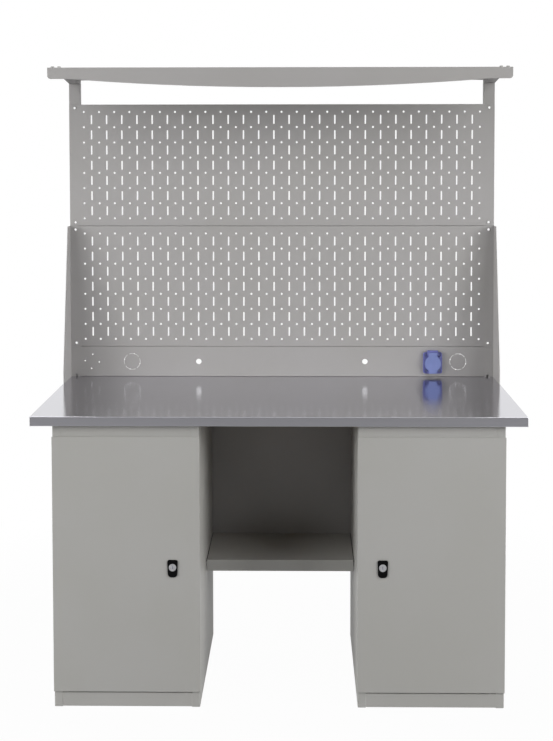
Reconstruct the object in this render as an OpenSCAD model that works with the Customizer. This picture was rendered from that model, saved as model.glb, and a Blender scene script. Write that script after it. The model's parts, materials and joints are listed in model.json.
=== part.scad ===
// Pedestal workbench with a pegboard back wall, a socket rail and a canopy.
// Origin: middle of the footprint on the floor. The front faces -Y and +Z is up.

/* [Worktop] */
// Length of the worktop, which is the width of the bench
top_w = 1400; // [1300:10:1600]
// Depth of the worktop
top_d = 600; // [580:5:700]
// Height of the working surface above the floor
top_h = 840; // [780:5:900]
// Thickness of the worktop with its steel skin
top_t = 27; // [22:1:40]
// Sheet thickness of the worktop's skin
skin_t = 1.5; // [1:0.1:2]
// Width of the lips folded in under the board
skin_lip = 25; // [15:1:40]

/* [Pedestals] */
// Width of one pedestal
ped_w = 416; // [380:1:430]
// Depth of one pedestal
ped_d = 492; // [440:1:540]
// From the worktop's side edge in to the pedestal
ped_inset = 59; // [30:1:90]
// From the worktop's front edge back to the pedestal's front
ped_setback = 19; // [12:1:40]
// Sheet thickness of the pedestals
sheet_t = 1.5; // [1:0.1:2]
// Width of the front flanges, which are also the legs
flange_w = 23; // [20:1:32]
// Width of the rear flanges
rear_flange_w = 20; // [12:1:30]
// Height of the plinth's top edge
plinth_h = 41; // [30:1:60]
// Clearance between the plinth and the floor
plinth_lift = 1.5; // [1:0.5:8]
// Height of the rail over the door
rail_h = 38; // [30:1:50]
// Height of the inner shelf
inner_shelf_z = 430; // [200:5:600]
// Height of the inner shelf's folded edge
inner_shelf_t = 25; // [18:1:35]
// From the pedestal's front back to the inner shelf
inner_shelf_setback = 34; // [28:1:120]

/* [Doors] */
// Thickness of the door's hemmed edge
door_t = 2; // [1.5:0.1:3]
// Gap between the door and the body behind it
door_gap = 2; // [2:0.1:4]
// How far the door stands out past the body's sides
door_over = 1; // [0:0.1:1.5]
// Slit below the door
door_slit = 4; // [2:0.5:8]
// How far the door's top edge laps over the rail
door_lap = 4; // [1:0.5:4]
// Depth of the stiffening tray on the door's back
liner_d = 14; // [10:1:18]
// Radius of the hinge pins
pin_r = 2.5; // [2:0.1:3]
// Height of a hinge sleeve
sleeve_h = 26; // [18:1:40]
// From the door's top or bottom edge to the middle of a hinge sleeve
sleeve_inset = 90; // [60:1:160]

/* [Locks] */
// Height of the key cylinders above the floor
lock_z = 406; // [300:1:500]
// From the left pedestal's inner side to its key cylinder
left_lock_inset = 76; // [66:1:90]
// From the right pedestal's inner side to its key cylinder
right_lock_inset = 70; // [66:1:90]
// Width of the black lock plate
plate_w = 29.5; // [26:0.5:36]
// Height of the lock plate
plate_h = 50; // [44:1:64]
// Thickness of the lock plate
plate_t = 2.5; // [1.5:0.1:4]
// Radius of the key cylinder's head
key_r = 10.5; // [10.3:0.1:11.5]
// Length of the cam, from the lock's axis
cam_len = 60; // [56:1:62]

/* [Knee space] */
// Height of the knee shelf's top
knee_shelf_z = 341; // [250:1:450]
// Height of the knee shelf's folded edges
knee_shelf_t = 34; // [24:1:45]
// Depth of the knee shelf
knee_shelf_d = 256; // [180:1:340]
// Gap between the knee shelf and each pedestal
knee_gap = 2; // [1:0.1:4]
// From the pedestals' rear forward to the modesty panel
modesty_setback = 17; // [12:1:40]

/* [Back wall] */
// Width of a post
post_w = 35; // [30:1:45]
// Depth of a post
post_d = 25; // [20:1:35]
// Height of a post
post_h = 968; // [940:1:1100]
// Sheet thickness of the posts
post_t = 2; // [1.5:0.1:3]
// Height of one pegboard panel
peg_h = 400; // [300:50:450]
// Height of the socket panel
rail_panel_h = 100; // [96:1:130]
// Sheet thickness of the panels
panel_t = 1.2; // [0.8:0.1:1.5]
// Depth of the panels' folded edges
panel_fold = 15; // [10:1:18]
// Gap between one panel and the next
seam_gap = 0.5; // [0.3:0.1:0.9]
// Distance between neighbouring peg holes
peg_pitch = 50; // [40:1:60]
// Diameter of a peg hole
peg_d = 6.6; // [5:0.1:9]
// Length of a peg slot
peg_slot = 30; // [16:1:32]
// Width of a peg slot
slot_w = 4.6; // [3:0.1:8]
// Height of the side gussets
gusset_h = 500; // [400:5:560]
// Thickness of the side gussets
gusset_t = 2; // [1.5:0.1:3]
// Depth of a gusset at its top
gusset_top_d = 60; // [40:1:90]
// Depth of a gusset at its foot
gusset_foot_d = 145; // [100:1:200]

/* [Canopy] */
// Depth of the canopy
canopy_d = 334; // [260:1:380]
// Height of the front fascia at its ends
fascia_end_h = 34.5; // [28:0.5:45]
// Height of the front fascia in the middle
fascia_mid_h = 60; // [46:1:80]
// Sheet thickness of the canopy
canopy_t = 1.5; // [1:0.1:2]
// Height of the arms where they stand on the posts
arm_h = 28.5; // [24:0.5:40]

/* [Socket] */
// From the bench's right end in to the socket's middle
socket_inset = 202; // [180:1:400]
// Height of the socket's middle above the worktop
socket_z = 47; // [42:1:50]
// Width of the socket's flange
socket_w = 62; // [60:1:70]
// Height of the socket's flange
socket_h = 70; // [66:1:80]
// Thickness of the socket's flange
socket_t = 8; // [6:0.5:12]
// Radius of the socket's plug recess
recess_r = 19.5; // [18:0.1:20.5]
// Radius of the socket's lid
lid_r = 26.5; // [25:0.5:29]
// Thickness of the socket's lid
lid_t = 5; // [3:0.5:7]

/* [Hidden] */

// Overrun of every cut, and the clearance of parts that slide into each other
over = 1;
fit = 0.3;
// Running clearance of a pin in its bore
run_fit = 0.06;
// Outer radius of every sheet bend
bend_r = 2.5;
$fn = 48;

body_grey = [0.62, 0.62, 0.61];
top_grey = [0.5, 0.5, 0.52];
steel = [0.75, 0.75, 0.75];
plastic_black = [0.06, 0.06, 0.06];
flange_blue = [0.24, 0.27, 0.6];
lid_blue = [0.42, 0.46, 0.75];
board_brown = [0.68, 0.55, 0.38];

half_w = top_w / 2;
front_y = -top_d / 2;
rear_y = top_d / 2;
body_top = top_h - top_t;
body_x = half_w - ped_inset;
body_y = front_y + ped_setback;
knee_half = body_x - ped_w;

// Screws up into the worktop, and the folded edges of the pedestals' decks
top_screw_r = 2.5;
top_screw_l = 18;
top_screw_head_r = 5;
top_screw_head_h = 3;
top_screw_in = 60;
screw_xs = [body_x - top_screw_in, knee_half + top_screw_in];
screw_ys = [body_y + top_screw_in, body_y + ped_d - top_screw_in];
deck_fold = 18;

// Doors and hinges, in the pedestal's own frame: x from its outer side, y from its front
door_back = -door_gap;
door_face = door_back - door_t;
door_z0 = plinth_h + door_slit;
door_z1 = body_top - rail_h + door_lap;
hem_w = 12;
door_sheet = 1.2;
liner_play = 2.5;
liner_x = flange_w + liner_play;
liner_y = door_back + liner_d;
liner_inset = 6;
liner_t = 1.2;
hinge_z = [door_z0 + sleeve_inset, door_z1 - sleeve_inset];
sleeve_wall = 1.7;
sleeve_r = pin_r + sleeve_wall;
axis_in = sheet_t + fit + sleeve_r;
arm_plate_t = 3;
tab_t = 3;
tab_reach = 5;
spine_l = 20;
spine_t = 2;
pin_head_h = 1.5;
pin_head_r = pin_r + pin_head_h;
notch_play = 1;
notch_h = sleeve_h + 2 * notch_play;

// Locks
lock_r = 9.9;
shank_r = 8;
spigot_r = 5;
nut_r = 14;
nut_h = 4;
lock_tail = 6;
lock_back = liner_y + lock_tail;
cam_t = 2.5;
cam_w = 14;
cam_y = lock_back + fit;
strike_t = 2;
strike_h = 36;
key_proud = 1;
key_slot_w = 1.6;
key_slot_h = 9;
key_slot_d = 2;
plate_drop = 3.5;
shield_top_share = 0.2;
shield_foot_share = 0.36;
shield_narrow_share = 0.46;

// Inner shelves and clips
shelf_play = 1;
clip_w = 22;
clip_h = 20;
clip_ledge = 12;
clip_t = 1.5;
clip_inset = 50;

// Knee space
knee_shelf_setback = 3;
knee_y1 = body_y + ped_d - knee_shelf_setback;
knee_y0 = knee_y1 - knee_shelf_d;
modesty_y = body_y + ped_d - modesty_setback;
modesty_fold = 14;
knee_bolt_r = 3;
knee_head_r = 5.5;
knee_head_h = 4;
knee_bolt_inset = 60;
modesty_bolt_inset = 40;
modesty_bolt_y = modesty_y + modesty_fold / 2;
knee_bolt_places = [
  [knee_y0 + knee_bolt_inset, knee_shelf_z - knee_shelf_t / 2],
  [knee_y1 - knee_bolt_inset, knee_shelf_z - knee_shelf_t / 2],
  [modesty_bolt_y, knee_shelf_z + modesty_bolt_inset],
  [modesty_bolt_y, body_top - modesty_bolt_inset]
];

// Nibs on the plinth's edge
nib_w = 3.5;
nib_h = 3.4;
nib_inset = 37;

// Back wall
post_y = rear_y - post_d;
post_x = half_w - gusset_t;
post_mid_x = post_x - post_w / 2;
post_bolt_y = rear_y - post_d / 2;
panel_y = post_y - panel_t;
panel_half = post_x;
fold_half = panel_half - post_w - fit;
ear_gap = 9;
relief_h = 1.6;
lower_z = top_h + rail_panel_h;
upper_z = lower_z + peg_h;
post_top = top_h + post_h;
peg_cols = floor((panel_half - peg_pitch / 2) / peg_pitch);
peg_rows = floor(peg_h / peg_pitch);
rivet_bore = 4;
rivet_r = 5;
rivet_head_r = 6.5;
rivet_head_h = 0.8;
rivet_edge = 12;
rivet_zs = [lower_z + rivet_edge, upper_z - rivet_edge, upper_z + rivet_edge, upper_z + peg_h - rivet_edge];
foot_t = 3;
post_bolt_r = 4;
post_bolt_head_r = 7;
post_bolt_head_h = 5;
post_bolt_l = 24;
cs_r = 3;
cs_head_r = 5.5;
cs_l = 12;
gusset_nose_h = 40;
gusset_tab_l = 30;
gusset_tab_h = 12;
gusset_tab_inset = 20;
gusset_tab_ys = [rear_y - gusset_foot_d + gusset_tab_inset,
                 rear_y - gusset_tab_inset - gusset_tab_l];
gusset_screw_zs = [top_h + gusset_nose_h, top_h + gusset_h / 2, top_h + gusset_h - gusset_nose_h];
seam_bolt_r = 2.5;
seam_head_r = 4.5;
seam_head_h = 3;
seam_grip = 2 * panel_t + seam_gap;
seam_bolt_y = (panel_fold + panel_t) / 2;
seam_span_share = 2 / 3;
seam_bolt_xs = [-fold_half * seam_span_share, 0, fold_half * seam_span_share];

// Socket panel
knock_r = 27;
small_knock_r = 23.5;
knock_slit = 1;
fine_slit = 0.1;
knock_web = 6;
knock_nick = 1.8;
small_knock_nick = 2.2;
knock_turn = -16;
small_knock_turn = -5;
cable_r = 9;
drain_w = 7;
drain_h = 7;
rail_mid = rail_panel_h / 2;
small_knock_x = 71 - half_w;
left_knock_x = 204 - half_w;
right_knock_x = half_w - 118;
cable_x = 275;

// Canopy and arms
canopy_y = rear_y - canopy_d;
canopy_top = post_top + arm_h + canopy_t;
canopy_edge = 18;
fascia_end_w = 64;
fascia_r = 10;
fascia_rise = fascia_mid_h - fascia_end_h;
arch_half = half_w - fascia_end_w;
arch_r = (arch_half * arch_half + fascia_rise * fascia_rise) / (2 * fascia_rise);
arm_t = 2;
arm_nose = 4;
arm_knee_y = 175;
arm_knee_rise = 22;
canopy_bolt_r = 3;
canopy_head_r = 5.5;
canopy_head_h = 4;
canopy_bolt_inset = 14;
canopy_bolt_side = 13;
canopy_bolt_gap = 20;
rear_bolt_gap = 14;
arm_front_y = canopy_y + bend_r + fit;
arm_rear_y = rear_y - bend_r;
canopy_bolt_x = half_w - canopy_bolt_side;
front_bolt_y = canopy_y + canopy_bolt_inset;
rear_bolt_y = post_y - canopy_bolt_inset;
front_grip = canopy_t + arm_nose + fit;
rear_grip = canopy_t + arm_t;
// Each bolt of the canopy as [x, y, thickness of the sheets it holds together]
canopy_bolt_places = [
  [canopy_bolt_x, front_bolt_y, front_grip], [canopy_bolt_x - canopy_bolt_gap, front_bolt_y, front_grip],
  [canopy_bolt_x, rear_bolt_y, rear_grip], [canopy_bolt_x - rear_bolt_gap, rear_bolt_y, rear_grip]
];

// Socket
socket_x = half_w - socket_inset;
socket_corner = 7;
socket_back_r = 24;
socket_back_d = 23;
collar_h = 4;
collar_r = 23;
recess_d = 18;
insert_t = 8;
insert_pin_r = 2.5;
insert_pin_x = 9.5;
screw_side = 9.5;
screw_end = 8.5;
screw_x = socket_w / 2 - screw_side;
screw_z = socket_h / 2 - screw_end;
screw_r = 2;
screw_head_r = 3.6;
screw_head_h = 2.4;
screw_slot_w = 0.9;
screw_slot_d = 1.1;
screw_pocket = 4;
pocket_r = 5.4;
screw_l = 12;
lid_y = -socket_t - collar_h - fit;
lid_axis_in = 1;
lid_axis_y = lid_y - lid_axis_in;
lid_pin_r = 1.5;
barrel_r = 4;
lid_axis_z = socket_h / 2 - barrel_r;
lid_half = 14;
ear_t = 3;
lid_drop = 1;
lid_lip = 6.5;
lid_lip_half = 13;
bar_half = 17;
bar_h = 6;
spring_half = 3;
spring_room = 3.3;
spring_wire = 0.5;
spring_turns = 3;
spring_steps = 14;
spring_sides = 6;

// A box between two corners
module block(lo, hi) {
  translate(lo) cube(hi - lo);
}

module to_x() {
  rotate([0, 90, 0]) children();
}

// Turns an upright piece to lie along +Y
module to_y() {
  rotate([-90, 0, 0]) children();
}

// Sheet bend in the lower left quarter round the origin
module bend_2d(t) {
  intersection() {
    difference() {
      circle(bend_r);
      circle(bend_r - t);
    }
    translate([-bend_r, -bend_r]) square(bend_r);
  }
}

// Folded channel section: a web at x = 0 that spans y, with a flange at each end
module channel_2d(span, low, high, t) {
  translate([0, bend_r]) square([t, span - 2 * bend_r]);
  translate([bend_r, bend_r]) bend_2d(t);
  translate([bend_r, 0]) square([low - bend_r, t]);
  translate([bend_r, span - bend_r]) mirror([0, 1]) bend_2d(t);
  translate([bend_r, span - t]) square([high - bend_r, t]);
}

// Lays a section drawn in depth and height along the bench's length
module along_x(length) {
  rotate([90, 0, 90]) linear_extrude(length, center = true) children();
}

module left_ped() {
  translate([-body_x, body_y, 0]) children();
}

module right_ped() {
  mirror([1, 0, 0]) left_ped() children();
}

module right_side() {
  mirror([1, 0, 0]) children();
}

// Hexagon-headed bolt: the head lies below z = 0 and the shank runs up
module hex_bolt(r, length, head_r, head_h) {
  translate([0, 0, -head_h]) cylinder(r = head_r, h = head_h, $fn = 6);
  cylinder(r = r, h = length);
}

// Worktop

module worktop_skin() {
  color(top_grey) difference() {
    union() {
      translate([0, front_y, body_top]) along_x(top_w - 2 * skin_t) skin_2d();
      for (side = [0, 1]) mirror([side, 0, 0])
        block([half_w - skin_t, front_y, body_top], [half_w, rear_y, top_h]);
    }
    top_cuts();
  }
}

module skin_2d() {
  translate([bend_r, top_t - skin_t]) square([top_d - 2 * bend_r, skin_t]);
  for (side = [0, 1]) translate([side * top_d, 0]) mirror([side, 0]) {
    translate([0, bend_r]) square([skin_t, top_t - 2 * bend_r]);
    translate([bend_r, bend_r]) bend_2d(skin_t);
    translate([bend_r, top_t - bend_r]) mirror([0, 1]) bend_2d(skin_t);
    translate([bend_r, 0]) square([skin_lip - bend_r, skin_t]);
  }
}

module worktop_core() {
  color(board_brown) difference() {
    translate([0, front_y, body_top]) along_x(top_w - 2 * skin_t) core_2d();
    top_cuts();
    for (x = screw_xs, side = [-1, 1], y = screw_ys)
      translate([side * x, y, body_top]) cylinder(r = top_screw_r, h = top_screw_l);
  }
}

// Section of the board: it fills the skin and stands down between the lips
module core_2d() {
  translate([skin_t, bend_r]) square([top_d - 2 * skin_t, top_t - 2 * bend_r]);
  translate([bend_r, skin_t]) square([top_d - 2 * bend_r, top_t - 2 * skin_t]);
  for (y = [bend_r, top_d - bend_r], z = [bend_r, top_t - bend_r]) translate([y, z]) circle(bend_r - skin_t);
  translate([skin_lip + fit, 0]) square([top_d - 2 * (skin_lip + fit), skin_t + over]);
}

// Holes for the post bolts and slots for the gusset tabs
module top_cuts() {
  for (side = [0, 1]) mirror([side, 0, 0]) {
    translate([post_mid_x, post_bolt_y, top_h - post_bolt_l + foot_t])
      cylinder(r = post_bolt_r, h = post_bolt_l);
    for (y = gusset_tab_ys)
      block([post_x - fit, y - fit, top_h - gusset_tab_h - fit],
            [half_w + over, y + gusset_tab_l + fit, top_h + over]);
  }
}

module worktop_screws() {
  color(steel) for (x = screw_xs, side = [-1, 1], y = screw_ys)
    translate([side * x, y, body_top - sheet_t])
      hex_bolt(top_screw_r, top_screw_l, top_screw_head_r, top_screw_head_h);
}

// Pedestal bodies

module outer_side() {
  color(body_grey) difference() {
    linear_extrude(body_top) channel_2d(ped_d, flange_w, rear_flange_w, sheet_t);
    for (z = hinge_z)
      block([bend_r, -over, z - notch_h / 2], [flange_w + over, sheet_t + fit, z + notch_h / 2]);
  }
}

module inner_side(lock_inset) {
  color(body_grey) difference() {
    union() {
      translate([ped_w, 0, 0]) mirror([1, 0, 0])
        linear_extrude(body_top) channel_2d(ped_d, flange_w, rear_flange_w, sheet_t);
      block([ped_w - flange_w, cam_y - fit - strike_t, lock_z - strike_h / 2],
            [ped_w - sheet_t, cam_y - fit, lock_z + strike_h / 2]);
    }
    translate([ped_w - sheet_t, -body_y, 0]) knee_bolt_holes();
  }
}

// Bores for the knee-space bolts, in the bench's y and z
module knee_bolt_holes() {
  for (p = knee_bolt_places)
    translate([-over, p[0], p[1]]) to_x() cylinder(r = knee_bolt_r, h = 2 * over + sheet_t);
}

module ped_back() {
  color(body_grey) block([bend_r, ped_d - 2 * sheet_t, plinth_lift],
                         [ped_w - bend_r, ped_d - sheet_t, body_top - sheet_t]);
}

// Horizontal sheet with folded side edges, lying between the sides and the back
module deck(z, drop) {
  x0 = sheet_t;
  x1 = ped_w - sheet_t;
  y1 = ped_d - 2 * sheet_t;
  block([x0, sheet_t, z - sheet_t], [x1, y1, z]);
  for (x = [x0, x1 - sheet_t])
    block([x, bend_r + sheet_t, z - drop], [x + sheet_t, y1, z]);
}

module top_rail() {
  color(body_grey) difference() {
    union() {
      deck(body_top, deck_fold);
      block([flange_w + fit, 0, body_top - rail_h], [ped_w - flange_w - fit, sheet_t, body_top]);
    }
    for (x = [top_screw_in, ped_w - top_screw_in], y = [top_screw_in, ped_d - top_screw_in])
      translate([x, y, body_top - sheet_t - over]) cylinder(r = top_screw_r, h = sheet_t + 2 * over);
  }
}

module floor_panel() {
  color(body_grey) {
    deck(plinth_h, deck_fold);
    block([flange_w + fit, 0, plinth_lift], [ped_w - flange_w - fit, sheet_t, plinth_h]);
    for (x = [nib_inset, ped_w - nib_inset - nib_w])
      block([x, 0, plinth_h - sheet_t], [x + nib_w, sheet_t, plinth_h + nib_h]);
  }
}

module inner_shelf() {
  x0 = sheet_t + shelf_play + clip_t;
  x1 = ped_w - x0;
  y0 = inner_shelf_setback;
  y1 = ped_d - 2 * sheet_t - shelf_play;
  z0 = inner_shelf_z - inner_shelf_t;
  color(body_grey) difference() {
    block([x0, y0, z0], [x1, y1, inner_shelf_z]);
    block([x0 + sheet_t, y0 + sheet_t, z0 - over], [x1 - sheet_t, y1 - sheet_t, inner_shelf_z - sheet_t]);
  }
}

module shelf_clips() {
  z = inner_shelf_z - inner_shelf_t;
  color(steel) for (side = [0, 1], y = [inner_shelf_setback + clip_inset, ped_d - clip_inset - clip_w])
    translate([side * ped_w, y, z]) mirror([side, 0, 0]) {
      block([sheet_t, 0, -clip_h], [sheet_t + clip_t, clip_w, clip_h / 2]);
      block([sheet_t, 0, -clip_t], [sheet_t + clip_ledge, clip_w, 0]);
    }
}

// Doors

module door_skin(lock_inset) {
  x0 = -door_over;
  x1 = ped_w + door_over;
  color(body_grey) difference() {
    block([x0, door_face, door_z0], [x1, door_back, door_z1]);
    block([x0 + hem_w, door_face + door_sheet, door_z0 + hem_w],
          [liner_x, door_back + over, door_z1 - hem_w]);
    block([ped_w - liner_x, door_face + door_sheet, door_z0 + hem_w],
          [x1 - hem_w, door_back + over, door_z1 - hem_w]);
    translate([ped_w - lock_inset, door_face - over, lock_z])
      to_y() cylinder(r = lock_r, h = door_t + 2 * over);
  }
}

module door_liner(lock_inset) {
  z0 = door_z0 + liner_inset;
  z1 = door_z1 - liner_inset;
  color(body_grey) difference() {
    block([liner_x, door_back, z0], [ped_w - liner_x, liner_y, z1]);
    block([liner_x + liner_t, door_back - over, z0 + liner_t],
          [ped_w - liner_x - liner_t, liner_y - liner_t, z1 - liner_t]);
    translate([ped_w - lock_inset, liner_y - liner_t - over, lock_z])
      to_y() cylinder(r = lock_r, h = liner_t + 2 * over);
  }
}

// Sleeve round the pin with the arm that reaches in to the door's tray
module hinge_sleeves() {
  color(body_grey) for (z = hinge_z) translate([axis_in, axis_in, z - sleeve_h / 2])
    difference() {
      union() {
        cylinder(r = sleeve_r, h = sleeve_h);
        block([0, -arm_plate_t / 2, 0], [liner_x - axis_in, arm_plate_t / 2, sleeve_h]);
      }
      translate([0, 0, -over]) cylinder(r = pin_r + run_fit, h = sleeve_h + 2 * over);
    }
}

// Two tabs on a spine, fixed to the pedestal's side
module hinge_brackets() {
  tab_gap = sleeve_h / 2 + fit;
  color(steel) for (z = hinge_z) translate([0, 0, z]) difference() {
    union() {
      for (side = [0, 1]) mirror([0, 0, side])
        block([sheet_t, sheet_t + fit, tab_gap],
              [axis_in + tab_reach, axis_in + tab_reach + spine_l / 2, tab_gap + tab_t]);
      block([sheet_t, axis_in + tab_reach, -tab_gap - tab_t],
            [sheet_t + spine_t, axis_in + tab_reach + spine_l, tab_gap + tab_t]);
    }
    translate([axis_in, axis_in, -tab_gap - tab_t - over])
      cylinder(r = pin_r, h = 2 * (tab_gap + tab_t + over));
  }
}

module hinge_pins() {
  reach = sleeve_h / 2 + fit + tab_t;
  color(steel) for (z = hinge_z) translate([axis_in, axis_in, z]) {
    translate([0, 0, -reach - pin_head_h]) cylinder(r = pin_r, h = 2 * reach + pin_head_h);
    translate([0, 0, reach]) cylinder(r = pin_head_r, h = pin_head_h);
  }
}

// Locks

module at_lock(lock_inset) {
  translate([ped_w - lock_inset, 0, lock_z]) children();
}

// Shield outline round the key's axis: small corners at the top, narrowing to a round foot
module shield_2d() {
  top_r = plate_w * shield_top_share;
  foot_r = plate_w * shield_foot_share;
  hull() for (x = [-1, 1]) {
    translate([x * (plate_w / 2 - top_r), plate_h / 2 - plate_drop - top_r]) circle(top_r, $fn = 32);
    translate([x * (plate_w * shield_narrow_share - foot_r), foot_r - plate_drop - plate_h / 2])
      circle(foot_r, $fn = 32);
  }
}

module lock_plate(lock_inset) {
  color(plastic_black) at_lock(lock_inset) translate([0, door_face, 0]) difference() {
    rotate([90, 0, 0]) linear_extrude(plate_t) shield_2d();
    translate([0, -plate_t - over, 0]) to_y() cylinder(r = key_r + fit, h = plate_t + 2 * over);
  }
}

module lock_body(lock_inset) {
  color(steel) at_lock(lock_inset) translate([0, door_face, 0]) difference() {
    to_y() cylinder(r = lock_r, h = lock_back - door_face);
    translate([0, -over, 0]) to_y() cylinder(r = shank_r + run_fit, h = lock_back - door_face + 2 * over);
  }
}

module lock_nut(lock_inset) {
  color(steel) at_lock(lock_inset) translate([0, liner_y, 0]) difference() {
    to_y() cylinder(r = nut_r, h = nut_h, $fn = 6);
    translate([0, -over, 0]) to_y() cylinder(r = lock_r, h = nut_h + 2 * over);
  }
}

module key_cylinder(lock_inset) {
  head = plate_t + key_proud - run_fit;
  color(steel) at_lock(lock_inset) translate([0, door_face - run_fit, 0]) difference() {
    union() {
      translate([0, -head, 0]) to_y() cylinder(r = key_r, h = head);
      to_y() cylinder(r = shank_r, h = cam_y - door_face + run_fit);
      to_y() cylinder(r = spigot_r, h = cam_y - door_face + run_fit + cam_t + key_proud);
    }
    block([-key_slot_w / 2, -head - over, -key_slot_h / 2],
          [key_slot_w / 2, -head + key_slot_d, key_slot_h / 2]);
  }
}

// Cam pointing down, as it lies unlocked
module lock_cam(lock_inset) {
  color(steel) at_lock(lock_inset) translate([0, cam_y, 0]) difference() {
    union() {
      to_y() cylinder(r = cam_w / 2, h = cam_t);
      block([-cam_w / 2, 0, -cam_len + cam_w / 2], [cam_w / 2, cam_t, 0]);
      translate([0, 0, -cam_len + cam_w / 2]) to_y() cylinder(r = cam_w / 2, h = cam_t);
    }
    translate([0, -over, 0]) to_y() cylinder(r = spigot_r, h = cam_t + 2 * over);
  }
}

// Knee space

module knee_shelf() {
  x1 = knee_half - knee_gap;
  z0 = knee_shelf_z - knee_shelf_t;
  color(body_grey) difference() {
    block([-x1, knee_y0, z0], [x1, knee_y1, knee_shelf_z]);
    block([-x1 + sheet_t, knee_y0 + sheet_t, z0 - over],
          [x1 - sheet_t, knee_y1 - sheet_t, knee_shelf_z - sheet_t]);
    for (side = [0, 1]) mirror([side, 0, 0]) translate([x1 - sheet_t, 0, 0]) knee_bolt_holes();
  }
}

module modesty_panel() {
  color(body_grey) difference() {
    block([-knee_half, modesty_y, knee_shelf_z], [knee_half, modesty_y + modesty_fold, body_top]);
    block([-knee_half + sheet_t, modesty_y + sheet_t, knee_shelf_z - over],
          [knee_half - sheet_t, modesty_y + modesty_fold + over, body_top - sheet_t]);
    for (side = [0, 1]) mirror([side, 0, 0]) translate([knee_half - sheet_t, 0, 0]) knee_bolt_holes();
  }
}

// Bolts with a nut inside the knee space, and a spacer where the shelf's gap is
module knee_bolts() {
  color(steel) for (side = [0, 1], p = knee_bolt_places) mirror([side, 0, 0]) {
    gap = p[1] < knee_shelf_z ? knee_gap : 0;
    nut_x = knee_half - gap - sheet_t;
    translate([knee_half + sheet_t, p[0], p[1]]) to_x()
      cylinder(r = knee_head_r, h = knee_head_h, $fn = 6);
    translate([nut_x - knee_head_h, p[0], p[1]]) to_x() {
      cylinder(r = knee_head_r, h = knee_head_h, $fn = 6);
      cylinder(r = knee_bolt_r, h = 2 * knee_head_h + 2 * sheet_t + gap);
    }
    if (gap > 0) translate([knee_half - gap, p[0], p[1]]) to_x() cylinder(r = knee_head_r, h = gap);
  }
}

// Posts and gussets

// Channel that is open to the rear, with a foot and a cap plate inside
module post() {
  color(body_grey) difference() {
    translate([post_x, post_y, top_h]) mirror([1, 0, 0]) difference() {
      block([0, 0, 0], [post_w, post_d, post_h]);
      block([post_t, post_t, foot_t], [post_w - post_t, post_d + over, post_h - foot_t]);
    }
    for (z = [top_h, post_top - foot_t]) translate([post_mid_x, post_bolt_y, z - over])
      cylinder(r = post_bolt_r, h = foot_t + 2 * over);
    for (z = rivet_zs) translate([post_mid_x, post_y - over, z]) to_y()
      cylinder(r = rivet_r, h = post_t + 2 * over);
    for (z = gusset_screw_zs)
      translate([post_x - post_t - over, post_bolt_y, z]) to_x() cylinder(r = cs_r, h = post_t + 2 * over);
    translate([post_mid_x, post_y, top_h]) drain_notch(post_t);
  }
}

// Small notch at the foot, open downwards
module drain_notch(t) {
  block([-drain_w / 2, -over, -over], [drain_w / 2, t + over, drain_h]);
}

module gusset() {
  color(body_grey) difference() {
    union() {
      translate([post_x, 0, 0]) rotate([90, 0, 90]) linear_extrude(gusset_t) polygon([
        [rear_y, top_h], [rear_y, top_h + gusset_h],
        [rear_y - gusset_top_d, top_h + gusset_h],
        [rear_y - gusset_foot_d, top_h + gusset_nose_h],
        [rear_y - gusset_foot_d, top_h]
      ]);
      for (y = gusset_tab_ys)
        block([post_x, y, top_h - gusset_tab_h], [half_w, y + gusset_tab_l, top_h + over]);
    }
    for (z = gusset_screw_zs) translate([half_w, post_bolt_y, z]) to_x() countersink();
  }
}

// Countersunk shape with its wide face at z = 0, running down
module countersink() {
  translate([0, 0, -gusset_t]) cylinder(r1 = cs_r, r2 = cs_head_r, h = gusset_t);
  translate([0, 0, -cs_l]) cylinder(r = cs_r, h = cs_l);
}

// Countersunk screws of the gussets, and the bolts at the posts' feet and tops
module frame_bolts() {
  color(steel) for (side = [0, 1]) mirror([side, 0, 0]) {
    for (z = gusset_screw_zs) translate([half_w, post_bolt_y, z]) to_x() {
      countersink();
      translate([0, 0, -gusset_t - post_t - knee_head_h])
        cylinder(r = knee_head_r, h = knee_head_h, $fn = 6);
    }
    translate([post_mid_x, post_bolt_y, top_h + foot_t]) mirror([0, 0, 1])
      hex_bolt(post_bolt_r, post_bolt_l, post_bolt_head_r, post_bolt_head_h);
    translate([post_mid_x, post_bolt_y, post_top - foot_t]) {
      hex_bolt(post_bolt_r, foot_t + arm_t, post_bolt_head_r, post_bolt_head_h);
      translate([0, 0, foot_t + arm_t]) cylinder(r = post_bolt_head_r, h = post_bolt_head_h, $fn = 6);
    }
  }
}

// Panels of the back wall, drawn with their foot at z = 0 and their face at y = 0. Each stops short of the
// next by the seam's gap.

module folded_panel(room) {
  height = room - seam_gap;
  along_x(2 * fold_half) channel_2d(height, panel_fold, panel_fold, panel_t);
  for (side = [0, 1]) mirror([side, 0, 0]) difference() {
    block([fold_half, 0, 0], [panel_half, panel_t, height]);
    for (z = [-over, height - relief_h])
      block([fold_half - over, -over, z], [fold_half + ear_gap, panel_t + over, z + relief_h + over]);
  }
}

module slot_2d() {
  run = peg_slot - slot_w;
  square([slot_w, run], center = true);
  for (side = [-1, 1]) translate([0, side * run / 2]) circle(d = slot_w);
}

// Round holes on the grid, and upright slots midway between them
module peg_pattern() {
  z0 = peg_h / 2 - (peg_rows - 1) * peg_pitch / 2;
  to_wall() for (i = [-peg_cols:peg_cols], j = [0:peg_rows - 1])
    translate([i * peg_pitch, z0 + j * peg_pitch]) circle(d = peg_d);
  to_wall() for (i = [-peg_cols:peg_cols - 1], j = [0:peg_rows - 2])
    translate([(i + 1 / 2) * peg_pitch, z0 + (j + 1 / 2) * peg_pitch]) slot_2d();
}

// Stands a flat drawing up in the panel's plane, as deep as a cut through it
module to_wall() {
  translate([0, panel_t + over, 0]) rotate([90, 0, 0]) linear_extrude(panel_t + 2 * over) children();
}

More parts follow.
